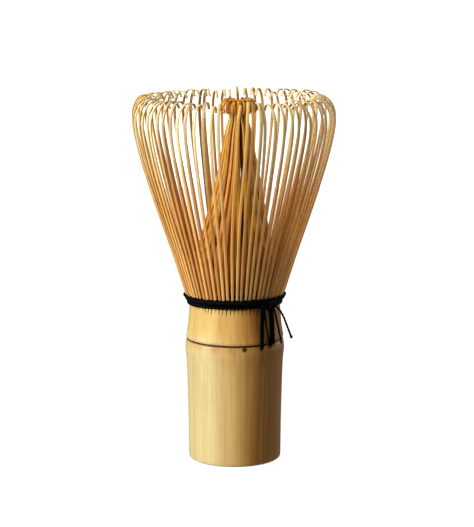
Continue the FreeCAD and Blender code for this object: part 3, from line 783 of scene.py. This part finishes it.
# each loose end: (thread radius, strands of points (side, distance, height), fibre length)
ENDS = [
    (0.40, [[(-2.50, 15.2, 49.0), (-2.78, 15.66, 47.6), (-2.90, 15.76, 43.0),
             (-2.86, 15.72, 39.5), (-2.96, 15.66, 36.7)],
            [(-1.90, 15.2, 49.1), (-2.12, 15.80, 47.8), (-2.26, 15.92, 43.2),
             (-2.24, 15.88, 40.0), (-2.20, 15.76, 37.0)]], 0.9),
    (0.28, [[(-1.25, 15.2, 49.0), (-1.42, 15.74, 47.7), (-1.30, 15.92, 45.5),
             (-0.75, 15.96, 42.6), (-0.12, 15.92, 39.8), (0.15, 15.84, 37.2)]], 0.7),
    (0.52, [[(0.40, 15.2, 49.1), (0.55, 15.80, 47.6), (0.72, 15.92, 44.4),
             (0.86, 15.94, 41.0), (0.98, 15.88, 37.6)],
            [(1.10, 15.2, 49.1), (1.30, 15.90, 47.6), (1.42, 16.12, 44.4),
             (1.56, 16.14, 41.0), (1.86, 16.06, 37.9)]], 1.0),
    (0.29, [[(1.90, 15.2, 49.1), (2.35, 15.80, 47.8), (3.05, 16.02, 45.0),
             (4.00, 16.06, 41.4), (4.95, 15.98, 37.8)]], 0.8),
    (0.31, [[(2.30, 15.1, 49.7), (3.00, 15.75, 49.0), (4.15, 16.2, 47.8),
             (5.20, 16.8, 45.6), (6.10, 17.5, 42.6), (7.05, 18.2, 39.5)]], 0.5),
]
KNOTTED_END = 4        # the last loose end has a small knot near its tip


def loose_ends():
    rand = random.Random(77)
    for index, (radius, strands, fray) in enumerate(ENDS):
        build = Builder()
        for points in strands:
            line = [by_knot(*q) for q in catmull(points, 12)]
            size = radius * (0.86 if len(strands) > 1 else 1.0)
            strand(build, line, size, 12, 3, 0.9 + radius)
            heading = (line[-1] - line[-4]).normalized()
            frayed(build, line[-1], heading, radius, 9, fray, rand)
        if index == KNOTTED_END:
            bead = [by_knot(6.92, 18.12, 39.85), by_knot(7.0, 18.18, 39.6),
                    by_knot(7.1, 18.25, 39.25)]
            strand(build, bead, 0.46, 12, 3, 1.1, 0.8)
        piece = build.make("loose_end_%d" % (index + 1), THREAD)
        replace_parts(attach(piece, "handle_and_thread"), "thread_tail_%d" % (index + 1))


def knot():
    """Two flat loops drawn through each other with a short turn across the middle."""
    build = Builder()

    def closed(path, radius):
        points = [by_knot(*path(TAU * i / 96)) for i in range(96)]
        strand(build, points + points[:2], radius, 10, 3, 1.5)

    closed(lambda t: (-0.70 + 1.45 * math.cos(t), 15.52 + 0.28 * math.sin(2 * t),
                      49.75 + 0.72 * math.sin(t)), 0.42)
    closed(lambda t: (1.30 + 1.55 * math.cos(t), 15.52 - 0.28 * math.sin(2 * t),
                      49.85 + 0.74 * math.sin(t)), 0.42)
    closed(lambda t: (0.35 + 0.40 * math.sin(t), 15.55 + 0.66 * math.cos(t),
                      49.75 + 1.12 * math.sin(t)), 0.40)
    piece = build.make("binding_knot", THREAD)
    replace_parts(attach(piece, "handle_and_thread"), "thread_knot")


loose_ends()
knot()


# ------------------------------------------------------------- stage
def stage():
    """A plain pale floor that curves up into a wall all round."""
    mesh = bpy.data.meshes.new("studio_floor")
    flat, sweep, wall, sides = 2.4, 0.8, 6.0, 64
    profile = [(0.6, 0.0), (flat, 0.0)]
    for q in range(1, 13):
        a = q * math.pi / 24
        profile.append((flat + sweep * math.sin(a), sweep * (1.0 - math.cos(a))))
    profile.append((flat + sweep, wall))
    verts = [(r * math.cos(TAU * k / sides), r * math.sin(TAU * k / sides), z)
             for r, z in profile for k in range(sides)]
    faces = [tuple(range(sides))]
    for i in range(len(profile) - 1):
        low = i * sides
        high = low + sides
        for k in range(sides):
            k2 = (k + 1) % sides
            faces.append((low + k, low + k2, high + k2, high + k))
    mesh.from_pydata(verts, [], faces)
    mesh.shade_smooth()
    mat, nodes, links, shader = new_material("studio_paper")
    coord, _ = place(nodes, links)
    paper = noise(nodes, links, coord, 220.0, 2.0)
    tone = ramp(nodes, [(0.3, (0.985, 0.985, 0.985)), (0.7, (1.0, 1.0, 1.0))])
    links.new(paper.outputs["Fac"], tone.inputs[0])
    links.new(tone.outputs[0], shader.inputs["Base Color"])
    links.new(tone.outputs[0], shader.inputs["Emission Color"])
    shader.inputs["Emission Strength"].default_value = 1.08
    shader.inputs["Roughness"].default_value = 0.95
    shader.inputs["Specular IOR Level"].default_value = 0.0
    mesh.materials.append(mat)
    floor = bpy.data.objects.new("studio_floor", mesh)
    bpy.context.scene.collection.objects.link(floor)
    floor.visible_diffuse = False
    floor.visible_glossy = False
    floor.visible_shadow = False


LAMP_TARGET = (0.0, 0.0, 0.06)


def softbox(name, position, size, power):
    """A square white lamp, size in metres and power in watts, that points at the whisk."""
    data = bpy.data.lights.new(name, "AREA")
    data.shape = "RECTANGLE"
    data.size = size
    data.size_y = size
    data.energy = power
    lamp = bpy.data.objects.new(name, data)
    lamp.location = position
    direction = Vector(LAMP_TARGET) - Vector(position)
    lamp.rotation_euler = direction.to_track_quat("-Z", "Y").to_euler()
    bpy.context.scene.collection.objects.link(lamp)


stage()
softbox("key_softbox", (-0.62, -0.34, 0.42), 0.45, 9.6)
softbox("back_rim", (0.60, 0.42, 0.30), 0.5, 2.2)

world = bpy.data.worlds.new("studio_air")
world.use_nodes = True
background = world.node_tree.nodes["Background"]
background.inputs[0].default_value = (1.0, 1.0, 1.0, 1.0)
background.inputs[1].default_value = 0.20
bpy.context.scene.world = world
bpy.context.scene.view_settings.view_transform = "Standard"

# ---------------------------------------------------------------- camera
CAMERA_HEIGHT = 0.162      # m above the floor
CAMERA_DISTANCE = 0.560    # m in front of the axis
CAMERA_ASIDE = 0.0007      # m to the right of the axis
CAMERA_PITCH = math.radians(10.29)  # looking down
FOCAL_MM = 127.537002
SENSOR_MM = 36.0
camera_data = bpy.data.cameras.new("camera")
camera_data.lens = FOCAL_MM
camera_data.sensor_width = SENSOR_MM
camera_data.sensor_fit = "VERTICAL"
camera_data.sensor_height = SENSOR_MM
camera_data.clip_start = 0.01
camera_data.clip_end = 20.0
camera = bpy.data.objects.new("camera", camera_data)
camera.location = (CAMERA_ASIDE, -CAMERA_DISTANCE, CAMERA_HEIGHT)
camera.rotation_euler = (math.radians(90.0) - CAMERA_PITCH, 0.0, 0.0)
bpy.context.scene.collection.objects.link(camera)
bpy.context.scene.camera = camera
